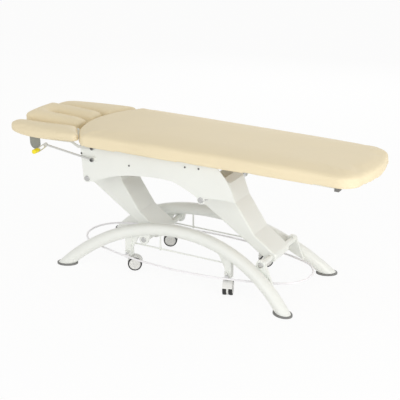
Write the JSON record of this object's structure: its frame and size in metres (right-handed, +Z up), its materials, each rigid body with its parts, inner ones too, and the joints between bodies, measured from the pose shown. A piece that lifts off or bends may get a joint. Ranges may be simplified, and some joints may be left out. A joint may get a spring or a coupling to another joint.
{
  "type": "height-adjustable treatment table",
  "caption": "Padded treatment table on an arched tube base with parallel lift legs, a tilting headrest with a face slot, drop-down armrests, castors and an all-round foot switch ring.",
  "frame": {"origin": "on the floor under the middle of the table", "axes": "+X from the head end to the foot end, +Y towards the far side, +Z up"},
  "size_m": [1.93, 0.6256, 0.7408],
  "materials": {
    "actuator_alloy": "drawn tube",
    "bearing_bronze": "plain bearing bronze",
    "beige_cover": "smooth beige upholstery vinyl",
    "bracket_grey": "grey powder coat",
    "castor_light": "light grey moulded",
    "castor_tread": "black tread",
    "foot_grey": "dark grey moulded",
    "frame_white": "smooth off-white powder coat",
    "grip_yellow": "yellow moulded",
    "housing_grey": "black moulded",
    "lever_light": "light grey",
    "pivot_cap_steel": "polished",
    "plywood": "plain plywood",
    "steel": "satin"
  },
  "bodies": {
    "base": {"near_arch": "frame_white", "far_arch": "frame_white", "foot_pads": "foot_grey", "head_lower_shaft": "frame_white", "tail_lower_shaft": "frame_white", "lower_pivot_caps": "pivot_cap_steel", "near_tie_rod": "frame_white", "far_tie_rod": "frame_white", "tie_rod_hangers": "frame_white", "ring_guide_pins": "steel"},
    "foot_ring": {"foot_ring": "frame_white"},
    "head_leg": {"head_leg": "frame_white", "head_leg_bushes": "bearing_bronze"},
    "tail_leg": {"tail_leg": "frame_white", "tail_leg_bushes": "bearing_bronze", "lift_tube": "actuator_alloy", "lift_motor": "housing_grey"},
    "lift_rod": {"lift_rod": "steel"},
    "top": {"near_side_plate": "frame_white", "far_side_plate": "frame_white", "near_rail": "frame_white", "far_rail": "frame_white", "near_end_cap": "foot_grey", "far_end_cap": "foot_grey", "near_arm_pivots": "steel", "far_arm_pivots": "steel", "near_headrest_hinge": "frame_white", "far_headrest_hinge": "frame_white", "plate_screws": "pivot_cap_steel", "upper_pivot_caps": "pivot_cap_steel", "head_cross_bar": "frame_white", "middle_cross_bar": "frame_white", "tail_cross_bar": "frame_white", "head_upper_shaft": "steel", "tail_upper_shaft": "steel", "control_box": "housing_grey", "main_board": "plywood", "main_cushion": "beige_cover"},
    "headrest": {"headrest_plate": "frame_white", "headrest_cushion": "beige_cover"},
    "near_armrest": {"near_armrest_cushion": "beige_cover", "near_armrest_bracket": "bracket_grey"},
    "near_stay": {"near_armrest_stay": "lever_light"},
    "near_knob": {"near_lock_knob": "grip_yellow"},
    "near_head_castor": {"near_head_castor_fork": "castor_light"},
    "near_head_wheels": {"near_head_castor_wheels": "castor_tread"},
    "near_tail_castor": {"near_tail_castor_fork": "castor_light"},
    "near_tail_wheels": {"near_tail_castor_wheels": "castor_tread"},
    "far_armrest": {"far_armrest_cushion": "beige_cover", "far_armrest_bracket": "bracket_grey"},
    "far_stay": {"far_armrest_stay": "lever_light"},
    "far_knob": {"far_lock_knob": "grip_yellow"},
    "far_head_castor": {"far_head_castor_fork": "castor_light"},
    "far_head_wheels": {"far_head_castor_wheels": "castor_tread"},
    "far_tail_castor": {"far_tail_castor_fork": "castor_light"},
    "far_tail_wheels": {"far_tail_castor_wheels": "castor_tread"}
  },
  "joints": [
    {"name": "lift", "type": "hinge", "parent": "base", "child": "head_leg", "pos_m": [-0.197, 0, 0.188], "axis": [0, 1, 0], "range_deg": [-27, 31]},
    {"name": "tail_leg_turn", "type": "hinge", "parent": "base", "child": "tail_leg", "pos_m": [0.46299, 0, 0.188], "axis": [0, 1, 0], "range_deg": [-28, 32]},
    {"name": "top_level", "type": "hinge", "parent": "head_leg", "child": "top", "pos_m": [-0.502, 0, 0.48], "axis": [0, 1, 0], "range_deg": [-32, 28]},
    {"name": "lift_rod_slide", "type": "slide", "parent": "tail_leg", "child": "lift_rod", "axis": [0.7223, 0, -0.6915], "range_m": [-0.023, 0.026]},
    {"name": "headrest_tilt", "type": "hinge", "parent": "top", "child": "headrest", "pos_m": [-0.622, 0, 0.686], "axis": [0, 1, 0], "range_deg": [-50, 12]},
    {"name": "foot_ring_press", "type": "slide", "parent": "base", "child": "foot_ring", "axis": [0, 0, 1], "range_m": [-0.005, 0], "stiffness_N_per_m": 6000, "springref_m": 0.006},
    {"name": "near_armrest_tilt", "type": "hinge", "parent": "top", "child": "near_armrest", "pos_m": [-0.458, -0.242, 0.65], "axis": [0, 1, 0], "range_deg": [-25, 3]},
    {"name": "near_stay_turn", "type": "hinge", "parent": "top", "child": "near_stay", "pos_m": [-0.458, -0.247, 0.59], "axis": [0, 1, 0], "range_deg": [-30, 5]},
    {"name": "near_knob_turn", "type": "hinge", "parent": "near_armrest", "child": "near_knob", "pos_m": [-0.78807, -0.2695, 0.59329], "axis": [0, 1, 0], "range_deg": [-180, 180]},
    {"name": "near_head_swivel", "type": "hinge", "parent": "base", "child": "near_head_castor", "pos_m": [-0.288, -0.182, 0.086], "axis": [0, 0, 1], "continuous": true},
    {"name": "near_head_roll", "type": "hinge", "parent": "near_head_castor", "child": "near_head_wheels", "pos_m": [-0.26526, -0.16939, 0.04], "axis": [-0.4848, 0.8746, 0], "continuous": true},
    {"name": "near_tail_swivel", "type": "hinge", "parent": "base", "child": "near_tail_castor", "pos_m": [0.288, -0.182, 0.086], "axis": [0, 0, 1], "continuous": true},
    {"name": "near_tail_roll", "type": "hinge", "parent": "near_tail_castor", "child": "near_tail_wheels", "pos_m": [0.29689, -0.20643, 0.04], "axis": [0.9397, 0.342, 0], "continuous": true},
    {"name": "far_armrest_tilt", "type": "hinge", "parent": "top", "child": "far_armrest", "pos_m": [-0.458, 0.242, 0.65], "axis": [0, 1, 0], "range_deg": [-25, 3]},
    {"name": "far_stay_turn", "type": "hinge", "parent": "top", "child": "far_stay", "pos_m": [-0.458, 0.247, 0.59], "axis": [0, 1, 0], "range_deg": [-30, 5]},
    {"name": "far_knob_turn", "type": "hinge", "parent": "far_armrest", "child": "far_knob", "pos_m": [-0.78807, 0.2695, 0.59329], "axis": [0, 1, 0], "range_deg": [-180, 180]},
    {"name": "far_head_swivel", "type": "hinge", "parent": "base", "child": "far_head_castor", "pos_m": [-0.288, 0.182, 0.086], "axis": [0, 0, 1], "continuous": true},
    {"name": "far_head_roll", "type": "hinge", "parent": "far_head_castor", "child": "far_head_wheels", "pos_m": [-0.26425, 0.19258, 0.04], "axis": [-0.4067, 0.9135, 0], "continuous": true},
    {"name": "far_tail_swivel", "type": "hinge", "parent": "base", "child": "far_tail_castor", "pos_m": [0.288, 0.182, 0.086], "axis": [0, 0, 1], "continuous": true},
    {"name": "far_tail_roll", "type": "hinge", "parent": "far_tail_castor", "child": "far_tail_wheels", "pos_m": [0.30981, 0.19616, 0.04], "axis": [-0.5446, 0.8387, 0], "continuous": true}
  ],
  "couplings": [
    {"joint": "tail_leg_turn", "follows": "lift", "ratio": 1},
    {"joint": "top_level", "follows": "lift", "ratio": -1},
    {"joint": "lift_rod_slide", "follows": "lift", "m_per_rad": 0.045},
    {"joint": "near_stay_turn", "follows": "near_armrest_tilt", "ratio": 1.1784},
    {"joint": "far_stay_turn", "follows": "far_armrest_tilt", "ratio": 1.1784}
  ]
}
